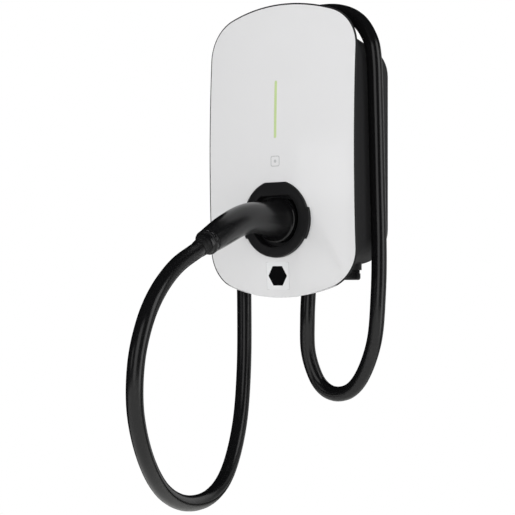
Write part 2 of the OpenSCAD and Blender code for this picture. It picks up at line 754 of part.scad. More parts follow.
module clamp_nut() {
    color(satin_black) on_tail() difference() {
        rotate_extrude() polygon([[0, 0], [14.3, 0], [14.3, 2.2], [13.4, 2.2], [13.4, 3.2], [14.6, 3.2],
            [14.6, 6.4], [13.8, 7.4], [13, 7.4], [13, 8.2], [12.6, 8.2], [11.6, nut_l], [0, nut_l]]);
        for (a = [0:30:330]) rotate(a) translate([16, 0, 3.6]) cylinder(r = 2, h = 2.4, $fn = 24);
    }
}

module cable_boot() {
    l = tail_l - nut_l;
    color(soft_black) on_tail() translate([0, 0, nut_l]) rotate_extrude() polygon([[0, 0], [10.8, 0],
        [10.6, 0.35 * l], [10, 0.35 * l], [10, 0.45 * l], [10.3, 0.45 * l], [cable_d / 2 + 0.5, l], [0, l]]);
}

module charging_cable() {
    color(soft_black)
        skin(tube_rings(smooth(cable_line, 2), cable_d / 2, cable_sides, [1, 0, 0], [0, 0, -1], -nut_dir));
}

front_panel();
light_bar();
light_board();
reader_board();
front_cover();
cover_seal();
cover_screws();
holster();
holster_screws();
housing();
wall_bracket();
bracket_screws();
main_board();
board_screws();
relays();
supply_terminals();
output_terminals();
current_sensor();
power_supply();
capacitors();
radio_module();
output_gland();
output_gland_nut();
output_gland_seal();
output_locknut();
output_leads();
supply_gland();
supply_gland_nut();
supply_gland_seal();
supply_locknut();
plug_nose();
plug_contacts();
plug_handle();
clamp_nut();
cable_boot();
charging_cable();
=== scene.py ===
"""Visible model of a wall-mounted vehicle charger: its panel, housing, holster, plug and cable.

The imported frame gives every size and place, in metres: +X right, +Z up, the wall at Y = 0 and
the charger towards -Y. Distances from the wall are therefore -Y and are called depths here.
"""
import logging
import math
from collections.abc import Callable, Sequence
from dataclasses import dataclass, field
from enum import Enum
from typing import Any

import bmesh
import bpy
from mathutils import Euler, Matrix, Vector


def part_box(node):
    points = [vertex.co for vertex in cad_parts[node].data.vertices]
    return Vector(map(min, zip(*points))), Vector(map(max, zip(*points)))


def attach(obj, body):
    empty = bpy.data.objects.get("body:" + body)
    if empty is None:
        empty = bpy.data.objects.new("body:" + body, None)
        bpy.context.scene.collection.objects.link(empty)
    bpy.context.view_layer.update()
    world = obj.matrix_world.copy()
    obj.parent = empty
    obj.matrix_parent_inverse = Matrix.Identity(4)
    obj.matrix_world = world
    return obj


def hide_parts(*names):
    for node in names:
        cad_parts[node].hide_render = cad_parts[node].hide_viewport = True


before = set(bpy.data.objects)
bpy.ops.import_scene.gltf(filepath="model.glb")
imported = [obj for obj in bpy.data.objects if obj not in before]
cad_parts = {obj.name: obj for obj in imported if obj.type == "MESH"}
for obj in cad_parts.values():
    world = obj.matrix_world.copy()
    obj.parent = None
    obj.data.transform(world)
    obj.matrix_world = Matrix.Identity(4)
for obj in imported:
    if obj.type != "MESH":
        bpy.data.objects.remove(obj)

Piece = bpy.types.Object
Pair = tuple[float, float]
log = logging.getLogger("charger")
MM = 0.001
MERGE = 0.01 * MM           # points nearer to each other than this are one point
FLAT = math.radians(0.3)    # faces that turn by less than this are one face
TO_FRONT = (math.pi / 2, 0, 0)      # turns a primitive's +Z towards the front


# ---- Working on meshes ----

def on_circle(radius: float, angle: float, x: float, z: float) -> Pair:
    """Gives the x and z of a circle's point at an angle, from the x and z of its middle."""
    return x + radius * math.cos(angle), z + radius * math.sin(angle)


def deselect() -> None:
    """Leaves edit mode and takes every object out of the selection."""
    if bpy.context.mode != "OBJECT":
        bpy.ops.object.mode_set(mode="OBJECT")
    bpy.ops.object.select_all(action="DESELECT")


def pick(piece: Piece) -> None:
    """Makes one object the only selected and the active one.

    Args:
        piece: The object.
    """
    deselect()
    piece.select_set(True)
    bpy.context.view_layer.objects.active = piece


def edit(piece: Piece, select: bool = True) -> None:
    """Opens a piece in edit mode.

    Args:
        piece: The mesh object to open.
        select: True selects all of it, False none of it.
    """
    pick(piece)
    bpy.ops.object.mode_set(mode="EDIT")
    bpy.ops.mesh.select_all(action="SELECT" if select else "DESELECT")


def leave() -> None:
    """Goes back to object mode."""
    bpy.ops.object.mode_set(mode="OBJECT")


def primitive(add: Callable[..., Any], name: str, **settings: Any) -> Piece:
    """Adds a primitive mesh.

    Args:
        add: The operator that adds it.
        name: Name for the object and its mesh.
        **settings: The operator's own settings.

    Returns:
        The object.
    """
    deselect()
    add(**settings)
    piece = bpy.context.active_object
    piece.name = name
    piece.data.name = name
    return piece


def choose_edges(piece: Piece, test: Callable[[bmesh.types.BMEdge], bool]) -> int:
    """Selects the edges of a piece in edit mode that pass a test.

    Args:
        piece: The piece that is open in edit mode.
        test: Says whether an edge is wanted.

    Returns:
        How many edges are selected.
    """
    bpy.ops.mesh.select_all(action="DESELECT")
    bpy.ops.mesh.select_mode(type="EDGE")
    mesh = bmesh.from_edit_mesh(piece.data)
    wanted = [edge for edge in mesh.edges if test(edge)]
    for edge in wanted:
        edge.select_set(True)
    bmesh.update_edit_mesh(piece.data)
    return len(wanted)


def move_chosen(piece: Piece, place: Callable[[Vector], Vector]) -> None:
    """Puts each selected point of a piece in edit mode at the place a function gives.

    Args:
        piece: The piece that is open in edit mode.
        place: Gives a point's new place from its old one.
    """
    mesh = bmesh.from_edit_mesh(piece.data)
    for point in mesh.verts:
        if point.select:
            point.co = place(point.co)
    bmesh.update_edit_mesh(piece.data)


def apply_modifier(piece: Piece, kind: str, **settings: Any) -> None:
    """Adds a modifier to a piece and applies it.

    Args:
        piece: The mesh object.
        kind: The modifier's type.
        **settings: The modifier's own settings.
    """
    pick(piece)
    modifier = piece.modifiers.new(kind.title(), kind)
    for key, value in settings.items():
        setattr(modifier, key, value)
    bpy.ops.object.modifier_apply(modifier=modifier.name)


def smooth(piece: Piece, degrees: float = 30.0) -> None:
    """Shades a piece smooth, apart from edges sharper than an angle."""
    pick(piece)
    bpy.ops.object.shade_smooth_by_angle(angle=math.radians(degrees))


def join(first: Piece, *others: Piece) -> Piece:
    """Joins pieces into the first of them.

    Args:
        first: The piece that takes the others in.
        *others: The pieces that it takes in.

    Returns:
        The first piece.
    """
    pick(first)
    for other in others:
        other.select_set(True)
    bpy.ops.object.join()
    return first


def ground(piece: Piece) -> Piece:
    """Writes a piece's place, turn and scale into its mesh.

    Args:
        piece: The object.

    Returns:
        The same object.
    """
    pick(piece)
    bpy.ops.object.transform_apply(location=True, rotation=True, scale=True)
    return piece


def cut(piece: Piece, cutter: Piece) -> None:
    """Takes a cutter's volume out of a piece and removes the cutter."""
    apply_modifier(piece, "BOOLEAN", operation="DIFFERENCE", solver="EXACT", object=cutter)
    bpy.data.objects.remove(cutter)


def copy_of(node: str, name: str) -> Piece:
    """Copies a frame node's mesh into a new piece, with its triangles merged into whole faces.

    Args:
        node: The frame node.
        name: Name of the new piece.

    Returns:
        The new piece.
    """
    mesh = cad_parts[node].data.copy()
    mesh.materials.clear()
    piece = bpy.data.objects.new(name, mesh)
    mesh.name = name
    bpy.context.scene.collection.objects.link(piece)
    edit(piece)
    bpy.ops.mesh.customdata_custom_splitnormals_clear()
    bpy.ops.mesh.remove_doubles(threshold=MERGE)
    bpy.ops.mesh.dissolve_limited(angle_limit=FLAT)
    leave()
    return piece


def round_edges(piece: Piece, width: float, steps: int,
                where: Callable[[Vector, list[Vector]], bool], least: float = 35.0) -> None:
    """Rounds the sharp edges of a piece that lie where they are wanted.

    Args:
        piece: The mesh object.
        width: Width of the rounding.
        steps: Number of faces across it.
        where: Gets an edge's middle and the normals of its two faces, and says yes or no.
        least: Smallest angle between the faces, in degrees.
    """
    def sharp(edge: bmesh.types.BMEdge) -> bool:
        """True for a wanted edge between two faces."""
        if len(edge.link_faces) != 2 or edge.calc_face_angle(0.0) < math.radians(least):
            return False
        return where((edge.verts[0].co + edge.verts[1].co) / 2,
                     [face.normal for face in edge.link_faces])

    edit(piece, select=False)
    if choose_edges(piece, sharp):
        bpy.ops.mesh.bevel(offset=width, segments=steps, affect="EDGES", clamp_overlap=False)
    leave()


# ---- Finishes ----

DRIFT = 60 * MM             # size of the patches in which a finish drifts in tone
DRIFT_DETAIL = 2.0
TRACKS = 40 * MM            # size of the pattern of a board's tracks
TRACK_LINE = 0.02           # share of it that the lines between the tracks take
GRAIN_DETAIL = 3.0
GRAIN_ROUGHNESS = 0.55
GRAIN_VALUES = (0.3, 0.7)   # the values that the noise of the grain mostly takes


def linear(colour: str) -> tuple[float, float, float, float]:
    """Turns an sRGB hex colour into linear red, green and blue, with full alpha."""
    parts = [int(colour[i:i + 2], 16) / 255 for i in (1, 3, 5)]
    return (*(c / 12.92 if c <= 0.04045 else ((c + 0.055) / 1.055) ** 2.4 for c in parts), 1.0)


def add_node(tree: bpy.types.NodeTree, kind: str, settings: dict[str, Any] | None = None,
             inputs: dict[Any, Any] | None = None) -> bpy.types.Node:
    """Adds a shader node.

    Args:
        tree: The node tree.
        kind: The node's type, without its prefix.
        settings: Properties of the node.
        inputs: For each input's name or number, the socket to link to it or its value.

    Returns:
        The new node.
    """
    node = tree.nodes.new("ShaderNode" + kind)
    for key, value in (settings or {}).items():
        setattr(node, key, value)
    for key, value in (inputs or {}).items():
        if isinstance(value, bpy.types.NodeSocket):
            tree.links.new(value, node.inputs[key])
        else:
            node.inputs[key].default_value = value
    return node


class Surface(Enum):
    """How a surface was made, which sets the pattern of its relief and tone."""

    MOULDED = "moulded against a spark-eroded tool"
    LACQUERED = "moulded and sprayed with a gloss coat"
    EXTRUDED = "drawn through a die"
    ROLLED = "rolled and plated sheet or wire"
    LAMINATED = "pressed board with tracks under a lacquer"


# How far a surface's grain is squeezed in its upright direction, which draws it out in streaks
STREAKS = {Surface.EXTRUDED: 0.06, Surface.ROLLED: 0.08}


@dataclass(frozen=True)
class Finish:
    """A surface finish, from which one material is made.

    Attributes:
        slot: The record's material slot, or a short name of its own where it has none.
        title: Common name of the real material and its surface.
        colour: Main colour, sRGB hex.
        second: The colour that its tone drifts towards, sRGB hex.
        surface: How the surface was made.
        grain: Size of its relief, in metres.
        relief: Height of its relief, in metres.
        roughness: Lowest and highest roughness.
        metallic: 1 for metals.
        specular: Specular level, 0.5 for an ordinary plastic.
        glow: Strength of the light it gives.
    """

    slot: str
    title: str
    colour: str
    second: str
    surface: Surface
    grain: float
    relief: float
    roughness: Pair
    metallic: float = 0.0
    specular: float = 0.5
    glow: float = 0.0

    def stretch(self) -> tuple[float, float, float]:
        """How far the grain is squeezed along X, Y and Z."""
        return 1.0, 1.0, STREAKS.get(self.surface, 1.0)

    def material(self) -> bpy.types.Material:
        """Makes the material, or finds it if it is there already.

        Returns:
            The material, named for what the real one is.
        """
        found = bpy.data.materials.get(self.title)
        if found:
            return found
        made = bpy.data.materials.new(self.title)
        made.use_nodes = True
        tree = made.node_tree
        tree.nodes.clear()
        place = add_node(tree, "TexCoord").outputs["Object"]
        drawn = add_node(tree, "Mapping", inputs={
            "Vector": place, "Scale": self.stretch()})
        grain = add_node(tree, "TexNoise", inputs={
            "Vector": drawn.outputs[0], "Scale": 1 / self.grain,
            "Detail": GRAIN_DETAIL, "Roughness": GRAIN_ROUGHNESS})
        drift = add_node(tree, "TexNoise", inputs={
            "Vector": place, "Scale": 1 / DRIFT, "Detail": DRIFT_DETAIL})
        tone = drift.outputs["Fac"]
        if self.surface is Surface.LAMINATED:
            tracks = add_node(tree, "TexBrick", {"offset": 0.5}, {
                "Vector": place, "Scale": 1 / TRACKS, "Mortar Size": TRACK_LINE,
                "Color1": (0, 0, 0, 1), "Color2": (0.25, 0.25, 0.25, 1), "Mortar": (1, 1, 1, 1)})
            tone = tracks.outputs["Color"]
        # Inputs 6 and 7 and output 2 of a mix node are its two colours and its result
        colour = add_node(tree, "Mix", {"data_type": "RGBA"}, {
            "Factor": tone, 6: linear(self.colour), 7: linear(self.second)})
        rough = add_node(tree, "MapRange", inputs={
            "Value": grain.outputs["Fac"],
            "From Min": GRAIN_VALUES[0], "From Max": GRAIN_VALUES[1],
            "To Min": self.roughness[0], "To Max": self.roughness[1]})
        bump = add_node(tree, "Bump", inputs={
            "Height": grain.outputs["Fac"], "Distance": self.relief, "Strength": 1.0})
        shader = add_node(tree, "BsdfPrincipled", inputs={
            "Base Color": colour.outputs[2], "Roughness": rough.outputs[0],
            "Normal": bump.outputs[0], "Metallic": self.metallic,
            "Specular IOR Level": self.specular})
        if self.glow:
            shader.inputs["Emission Color"].default_value = linear(self.colour)
            shader.inputs["Emission Strength"].default_value = self.glow
        add_node(tree, "OutputMaterial", inputs={"Surface": shader.outputs[0]})
        return made


FINISHES = {finish.slot: finish for finish in (
    # Clean reflections over a very faint orange peel
    Finish("panel_white", "gloss-coated polycarbonate", "#E4E4E5", "#E2E2E3",
           Surface.LACQUERED, 3 * MM, 0.0012 * MM, (0.05, 0.07)),
    # Frosted light guide: an even, soft green with no hot spot
    Finish("light_green", "frosted acrylic light guide", "#ABBE84", "#B4C690",
           Surface.MOULDED, 1.2 * MM, 0.01 * MM, (0.3, 0.4), glow=0.25),
    # A dense dark side with a soft, broad sheen
    Finish("housing_charcoal", "glass-filled polyamide", "#2C2C2D", "#282829",
           Surface.MOULDED, 1.6 * MM, 0.02 * MM, (0.42, 0.55), specular=0.2),
    # Satin ring round the plug
    Finish("holster_black", "moulded PC/ABS", "#1B1B1C", "#181819",
           Surface.MOULDED, 1.4 * MM, 0.012 * MM, (0.34, 0.44), specular=0.22),
    # Soft grey light along the upper side of the grip, near black below
    Finish("plug_black", "moulded thermoplastic elastomer", "#111112", "#0F0F10",
           Surface.MOULDED, 1.4 * MM, 0.006 * MM, (0.17, 0.22)),
    # Sheath with faint lines along it and two long soft bands of light
    Finish("cable_black", "extruded polyurethane sheath", "#111112", "#0F0F10",
           Surface.EXTRUDED, 1.5 * MM, 0.006 * MM, (0.19, 0.24)),
    # Short rubber sleeve: duller than the plug
    Finish("boot_rubber", "moulded chloroprene rubber", "#141415", "#111112",
           Surface.MOULDED, 1.5 * MM, 0.015 * MM, (0.45, 0.55), specular=0.35),
    # Nuts and threads: a narrow satin light on each flat
    Finish("gland_black", "moulded polyamide", "#161617", "#131314",
           Surface.MOULDED, 1.2 * MM, 0.01 * MM, (0.36, 0.46), specular=0.35),
    # Seals: matt, with no light on them
    Finish("seal_rubber", "silicone rubber", "#1A1A1B", "#151516",
           Surface.MOULDED, 1.5 * MM, 0.02 * MM, (0.6, 0.7), specular=0.3),
    # Cool grey sheet with rolling streaks
    Finish("bracket_steel", "zinc-plated steel sheet", "#B4B7BB", "#A4A8AD",
           Surface.ROLLED, 2 * MM, 0.01 * MM, (0.32, 0.45), metallic=1.0),
    # Screws: brighter than the sheet, with finer streaks
    Finish("screw_steel", "zinc-plated steel wire", "#BDC0C4", "#ABAFB4",
           Surface.ROLLED, 0.8 * MM, 0.005 * MM, (0.22, 0.32), metallic=1.0),
    # Pale, warm and slightly dulled
    Finish("contact_silver", "silver-plated copper", "#D2CFC8", "#B9B4AA",
           Surface.ROLLED, 0.8 * MM, 0.003 * MM, (0.18, 0.3), metallic=1.0),
    # Green mask with paler tracks
    Finish("board_green", "glass-epoxy circuit board", "#1F5C3A", "#3B7A55",
           Surface.LAMINATED, 1 * MM, 0.01 * MM, (0.3, 0.45)),
    # Relay cases: plain satin blue
    Finish("relay_blue", "moulded polybutylene terephthalate", "#2C4F86", "#27467A",
           Surface.MOULDED, 1 * MM, 0.01 * MM, (0.35, 0.45)),
    # Terminal blocks: matt mid grey
    Finish("terminal_grey", "moulded grey polyamide", "#8E9194", "#84878B",
           Surface.MOULDED, 1 * MM, 0.01 * MM, (0.4, 0.5)),
    # Ring of the leakage sensor: matt black
    Finish("sensor_black", "epoxy potting resin", "#1B1C1E", "#17181A",
           Surface.MOULDED, 1 * MM, 0.01 * MM, (0.4, 0.5)),
    # Tape round the supply's core: dull amber
    Finish("supply_yellow", "polyester winding tape", "#C9A93A", "#BE9E32",
           Surface.MOULDED, 1 * MM, 0.01 * MM, (0.4, 0.5)),
    # Shrunk sleeve: dark blue with a tight light along it
    Finish("capacitor_sleeve", "shrunk PVC sleeve", "#26303F", "#1F2836",
           Surface.EXTRUDED, 1 * MM, 0.005 * MM, (0.25, 0.35)),
    # Shield of the radio: bright, with faint streaks
    Finish("shield_steel", "tinned steel sheet", "#B9BCC0", "#A9ADB2",
           Surface.ROLLED, 1.2 * MM, 0.005 * MM, (0.28, 0.4), metallic=1.0),
)}

# Black carrier behind the white face, on its flank and back. The thin dark line along the face's
# rim is painted shade in this black, widest at the top and sides and running out at the foot
CARRIER_AND_PAINTED_EDGE = Finish("carrier_black_and_painted_edge", "moulded black ABS and painted shade edge", "#242425", "#202021",
                 Surface.MOULDED, 1.6 * MM, 0.01 * MM, (0.4, 0.5), specular=0.25)
# Hexagon on the label: deep black with a slight gloss
INK = Finish("ink_black", "black screen-print ink", "#0B0B0C", "#0D0D0E",
             Surface.LACQUERED, 1.5 * MM, 0.002 * MM, (0.12, 0.16), specular=0.1)
# Fine lines on the panel and round the label: pale grey
GREY_INK = Finish("ink_grey", "grey screen-print ink", "#BFC0C1", "#BABBBC",
                  Surface.LACQUERED, 1.5 * MM, 0.002 * MM, (0.2, 0.3))
# Label: a little brighter and duller than the panel under it
LABEL_FILM = Finish("label_film", "polyester label film", "#E8E9EA", "#E6E7E8",
                    Surface.LACQUERED, 2 * MM, 0.002 * MM, (0.16, 0.22))


def dress(piece: Piece, finish: Finish, slot: str, *nodes: str) -> Piece:
    """Gives a new piece its finish and its body, and hides the frame nodes that it stands for.

    Args:
        piece: The new piece.
        finish: Its finish.
        slot: The record's slot of its finish; not used.
        *nodes: The frame nodes that it replaces.

    Returns:
        The piece.
    """
    piece.data.materials.clear()
    piece.data.materials.append(finish.material())
    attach(piece, "root")
    if nodes:
        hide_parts(*nodes)
    log.info("%s: %s", piece.name, finish.surface.value)
    return piece


def refine(node: str, slot: str, name: str, width: float = 0.0, steps: int = 3,
           where: Callable[[Vector, list[Vector]], bool] = lambda at, normals: True,
           least: float = 35.0) -> Piece:
    """Makes a softer-edged piece from a frame node and shows it instead of the node.

    Args:
        node: The frame node.
        slot: The record's slot of its finish.
        name: Name of the new piece.
        width: Width of the rounding of its edges, 0 for none.
        steps: Faces across the rounding.
        where: Which edges are rounded.
        least: Smallest angle of an edge that is rounded, in degrees.

    Returns:
        The new piece.
    """
    piece = copy_of(node, name)
    if width:
        round_edges(piece, width, steps, where, least)
    smooth(piece)
    return dress(piece, FINISHES[slot], slot, node)


# ---- Front panel ----

@dataclass
class FrontPanel:
    """Doubly curved gloss panel with a rolled rim, its ribs, light bar and printed marks."""

    end_radius: float = 231 * MM
    corner_radius: float = 49 * MM
    bow_radius: float = 2000 * MM
    crown_radius: float = 600 * MM
    thickness: float = 4 * MM
    roll: float = 0.9 * MM          # radius of the rim
    roll_steps: int = 5
    # The dark edge, and the rim's faces steeper than white_to, are painted shade in the carrier's
    # black, widest at the top and sides
    edge: float = 1.1 * MM          # width of the dark edge inside the rim
    painted_edge_ends: Pair = (3 * MM, 26 * MM)  # heights over the foot where it widens
    least_share: float = 0.02
    white_to: float = 62.0          # steeper faces of the rim are dark
    columns: int = 56
    rows: int = 72
    side_share: float = 0.4         # shares of the border at which the corner's arc starts,
    bend_share: float = 0.75        # at which it ends,
    turn_share: float = 0.575       # and where the corner of the grid lies on it
    slope_step: float = 0.1 * MM
    slot_gap: float = 0.1 * MM
    slot_face: float = 3 * MM
    slot_sides: int = 32
    hole_gap: float = 0.4 * MM
    hole_sides: int = 240
    cutter_reach: float = 30 * MM
    lug: float = 2.4 * MM
    lug_span: Pair = (-23 * MM, 12 * MM)
    rib_at: Pair = (60 * MM, 124 * MM)
    rib_thickness: float = 1.8 * MM
    rib_lift: float = 3 * MM
    rib_cuts: int = 15
    rib_over_light: float = 10 * MM
    rib_round_holster: float = 6 * MM
    stud_at: tuple[Pair, ...] = (
        (72 * MM, -108 * MM), (80 * MM, 24 * MM), (72 * MM, 108 * MM))
    stud_radius: float = 4.5 * MM
    stud_seat: float = 2 * MM
    pin_radius: float = 2.4 * MM
    pin_length: float = 3 * MM
    stud_sides: int = 32
    stud_round: float = 0.4 * MM
    overlap: float = 0.1 * MM
    on_curve: float = 0.01 * MM
    ink_height: float = 0.12 * MM
    sign_z: float = -13 * MM
    sign_line: tuple[Pair, ...] = ((6.4 * MM, 2.4 * MM), (5.4 * MM, 1.6 * MM))
    dot_radius: float = 1.9 * MM
    dot_corners: int = 24
    label_z: float = -150 * MM
    label_line: tuple[Pair, ...] = ((16.5 * MM, 0.8 * MM), (16.2 * MM, 0.6 * MM))
    label_line_height: float = 0.18 * MM
    hexagon_radius: float = 13.4 * MM
    hexagon_height: float = 0.26 * MM
    half_w: float = field(init=False)
    half_h: float = field(init=False)
    face: float = field(init=False)
    corner_x: float = field(init=False)
    corner_z: float = field(init=False)
    end_z: float = field(init=False)
    tangent: float = field(init=False)
    bezel_r: float = field(init=False)
    bezel_z: float = field(init=False)
    bezel_flat: float = field(init=False)

    def __post_init__(self) -> None:
        """Takes the sizes of panel and bezel from the frame and finds where its arcs meet."""
        low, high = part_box("front_panel")
        self.half_w, self.half_h, self.face = high.x, high.z, -low.y
        self.corner_x = self.half_w - self.corner_radius
        self.end_z = self.half_h - self.end_radius
        rise = math.sqrt((self.end_radius - self.corner_radius) ** 2 - self.corner_x ** 2)
        self.corner_z = self.end_z + rise
        self.tangent = math.atan2(rise, self.corner_x)
        low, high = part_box("holster")
        self.bezel_r = high.x - self.lug
        self.bezel_z = low.z + self.bezel_r
        self.bezel_flat = high.z - self.bezel_z

    def depth(self, x: float, z: float) -> float:
        """Distance of the face from the wall at a place on it.

        Args:
            x: Distance to the right of the middle.
            z: Height over the middle.

        Returns:
            The distance.
        """
        across = math.sqrt(self.crown_radius ** 2 - x * x)
        ring = self.bow_radius - self.crown_radius + across
        return self.face - self.bow_radius + math.sqrt(ring * ring - z * z)

    def normal(self, x: float, z: float) -> Vector:
        """Direction that the face looks in at a place on it.

        Args:
            x: Distance to the right of the middle.
            z: Height over the middle.

        Returns:
            The direction, of length 1.
        """
        step = self.slope_step
        slope_x = (self.depth(x + step, z) - self.depth(x - step, z)) / (2 * step)
        slope_z = (self.depth(x, z + step) - self.depth(x, z - step)) / (2 * step)
        return Vector((-slope_x, -1.0, -slope_z)).normalized()

    def on_face(self, x: float, z: float, lift: float = 0.0) -> Vector:
        """Point on the face, or lifted off it."""
        return Vector((x, -self.depth(x, z), z)) + self.normal(x, z) * lift

    def border(self, share: float, inset: float) -> Pair:
        """Point of the outline's upper right quarter.

        Args:
            share: 0 at the right end of the middle, 1 at the top of the middle.
            inset: How far the point lies inside the outline.

        Returns:
            The point's x and z.
        """
        side, bend = self.side_share, self.bend_share
        if share <= side:
            return self.half_w - inset, self.corner_z * share / side
        if share <= bend:
            angle = self.tangent * (share - side) / (bend - side)
            return on_circle(self.corner_radius - inset, angle, self.corner_x, self.corner_z)
        angle = self.tangent + (math.pi / 2 - self.tangent) * (share - bend) / (1 - bend)
        return on_circle(self.end_radius - inset, angle, 0.0, self.end_z)

    def spread(self, u: float, v: float) -> Pair:
        """Place on the face of a point of the plain grid.

        Args:
            u: The point's place from left to right, -1 to 1.
            v: The point's place from bottom to top, -1 to 1.

        Returns:
            The place's x and z.
        """
        turn = self.turn_share
        inset = self.roll + self.edge
        cx, cz = self.border(turn, inset)
        side_x, side_z = self.border(turn * abs(v), inset)
        top_x, top_z = self.border(1 - (1 - turn) * abs(u), inset)
        side_z, top_x = math.copysign(side_z, v), math.copysign(top_x, u)
        return u * side_x + top_x - u * cx, v * top_z + side_z - v * cz

    def nearest(self, x: float, z: float) -> tuple[float, float, float]:
        """Finds the nearest part of the outline from a place on it or inside it.

        Args:
            x: The place's x.
            z: The place's z.

        Returns:
            How far the place lies inside the outline, and the x and z of the direction to it.
        """
        ax, az = abs(x), abs(z)
        if az <= self.corner_z:
            return self.half_w - ax, math.copysign(1.0, x), 0.0
        inset = self.corner_radius - math.hypot(ax - self.corner_x, az - self.corner_z)
        angle = math.atan2(az - self.corner_z, ax - self.corner_x)
        if ax <= self.corner_x or angle > self.tangent:
            inset = self.end_radius - math.hypot(ax, az - self.end_z)
            angle = math.atan2(az - self.end_z, ax)
        return inset, math.copysign(math.cos(angle), x), math.copysign(math.sin(angle), z)

    def painted_edge_share(self, z: float) -> float:
        """Share of the painted dark edge's width at a height: this painted shade runs out under the
        lower corners.

        Args:
            z: Height over the middle.

        Returns:
            The share, a little over 0 and under 1, so that no strip of faces is without width.
        """
        low, high = self.painted_edge_ends
        least = self.least_share
        return min(max((z + self.half_h - low) / (high - low), least), 1 - least)

    def shell(self) -> Piece:
        """Makes the face, its edge, the rolled rim and the back as one closed shell.

        Returns:
            The shell.
        """
        piece = primitive(bpy.ops.mesh.primitive_grid_add, "panel", size=2,
                          x_subdivisions=self.columns, y_subdivisions=self.rows)
        for point in piece.data.vertices:
            point.co = self.on_face(*self.spread(point.co.x, point.co.y))
        edit(piece)
        bpy.ops.mesh.duplicate()
        bpy.ops.transform.translate(value=(0, self.thickness, 0))
        back = {v.index for v in bmesh.from_edit_mesh(piece.data).verts if v.select}
        choose_edges(piece, lambda edge: edge.is_boundary and edge.verts[0].index not in back)
        # First the white strip beside the painted dark edge, then the painted dark edge itself
        for part in (lambda share: 1 - share, lambda share: share):
            bpy.ops.mesh.extrude_region_move()
            move_chosen(piece, lambda co, part=part: self.pushed(
                co, self.edge * part(self.painted_edge_share(co.z)), 0.0))
        out = down = 0.0
        for step in range(1, self.roll_steps + 1):
            angle = math.pi / 2 * step / self.roll_steps
            reach, fall = self.roll * math.sin(angle), self.roll * (1 - math.cos(angle))
            bpy.ops.mesh.extrude_region_move()
            move_chosen(piece, lambda co, dx=reach - out, dy=fall - down: self.pushed(co, dx, dy))
            out, down = reach, fall
        choose_edges(piece, lambda edge: edge.is_boundary)
        bpy.ops.mesh.bridge_edge_loops()
        bpy.ops.mesh.select_all(action="SELECT")
        bpy.ops.mesh.normals_make_consistent(inside=False)
        leave()
        return piece

    def pushed(self, co: Vector, out: float, down: float) -> Vector:
        """Point of the rim moved outwards along the face, and down from it.

        Args:
            co: The point.
            out: How far it moves outwards.
            down: How far it moves towards the wall.

        Returns:
            The point's new place.
        """
        _, dx, dz = self.nearest(co.x, co.z)
        x, z = co.x + dx * out, co.z + dz * out
        change = self.depth(x, z) - self.depth(co.x, co.z)
        return Vector((x, co.y - change + down, z))

    def light_slot(self) -> Piece:
        """Cutter for the light bar: a round bar pulled out to an upright slot.

        Returns:
            The cutter.
        """
        box = [Vector(c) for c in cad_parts["light_bar"].bound_box]
        front = min(c.y for c in box)
        face = [v.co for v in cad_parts["light_bar"].data.vertices
                if v.co.y < front + self.slot_face]
        half_w = max(c.x for c in face) + self.slot_gap
        top = max(c.z for c in face) + self.slot_gap
        bottom = min(c.z for c in face) - self.slot_gap
        middle = (top + bottom) / 2
        cutter = ground(primitive(
            bpy.ops.mesh.primitive_cylinder_add, "slot_cutter", vertices=self.slot_sides,
            radius=half_w, depth=2 * self.cutter_reach,
            location=(0, -self.face, middle), rotation=TO_FRONT))
        pull = (top - bottom) / 2 - half_w
        for point in cutter.data.vertices:
            if abs(point.co.z - middle) > MERGE:
                point.co.z += math.copysign(pull, point.co.z - middle)
        return cutter

    def holster_hole(self) -> Piece:
        """Cutter for the holster's ring, with its flat top and the lugs at its sides.

        Returns:
            The cutter.
        """
        cutter = ground(primitive(
            bpy.ops.mesh.primitive_circle_add, "ring_cutter", vertices=self.hole_sides,
            radius=1, fill_type="NGON", rotation=TO_FRONT))
        for point in cutter.data.vertices:
            angle = math.atan2(point.co.z, point.co.x)
            radius = self.bezel_r + self.hole_gap
            height = radius * math.sin(angle)
            if self.lug_span[0] - self.hole_gap < height < self.lug_span[1] + self.hole_gap:
                radius += self.lug
            if height > self.bezel_flat + self.hole_gap:
                radius = (self.bezel_flat + self.hole_gap) / math.sin(angle)
            x, z = on_circle(radius, angle, 0.0, self.bezel_z)
            point.co = (x, -self.face - self.cutter_reach, z)
        edit(cutter)
        bpy.ops.mesh.extrude_region_move(
            TRANSFORM_OT_translate={"value": (0, 2 * self.cutter_reach, 0)})
        bpy.ops.mesh.select_all(action="SELECT")
        bpy.ops.mesh.normals_make_consistent(inside=False)
        leave()
        return cutter

    def ribs(self) -> list[Piece]:
        """Ribs that stiffen the panel's back, each following the face's curve.

        Returns:
            The ribs.
        """
        x_at, z_at = self.rib_at
        foot = -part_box("front_cover")[0].y + self.rib_lift
        light_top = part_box("light_bar")[1].z + self.rib_over_light
        opening = self.bezel_r + self.rib_round_holster
        gap_x = math.sqrt(max(opening ** 2 - (z_at + self.bezel_z) ** 2, 0.0))
        runs = [((-x_at, -z_at), (-x_at, z_at)), ((x_at, -z_at), (x_at, z_at)),
                ((-x_at, z_at), (x_at, z_at)), ((-x_at, light_top), (x_at, light_top)),
                ((-x_at, -z_at), (-gap_x, -z_at)), ((gap_x, -z_at), (x_at, -z_at))]
        made = []
        for (x0, z0), (x1, z1) in runs:
            rib = primitive(bpy.ops.mesh.primitive_cube_add, "rib", size=1)
            edit(rib)
            bpy.ops.mesh.subdivide(number_cuts=self.rib_cuts)
            leave()
            upright = x0 == x1
            for point in rib.data.vertices:
                along, side, up = point.co.x + 0.5, point.co.y, point.co.z + 0.5
                x = x0 + (x1 - x0) * along + (side * self.rib_thickness if upright else 0.0)
                z = z0 + (z1 - z0) * along + (0.0 if upright else side * self.rib_thickness)
                top = self.depth(x, z) - self.thickness / 2
                point.co = (x, -(foot + (top - foot) * up), z)
            made.append(rib)
        return made

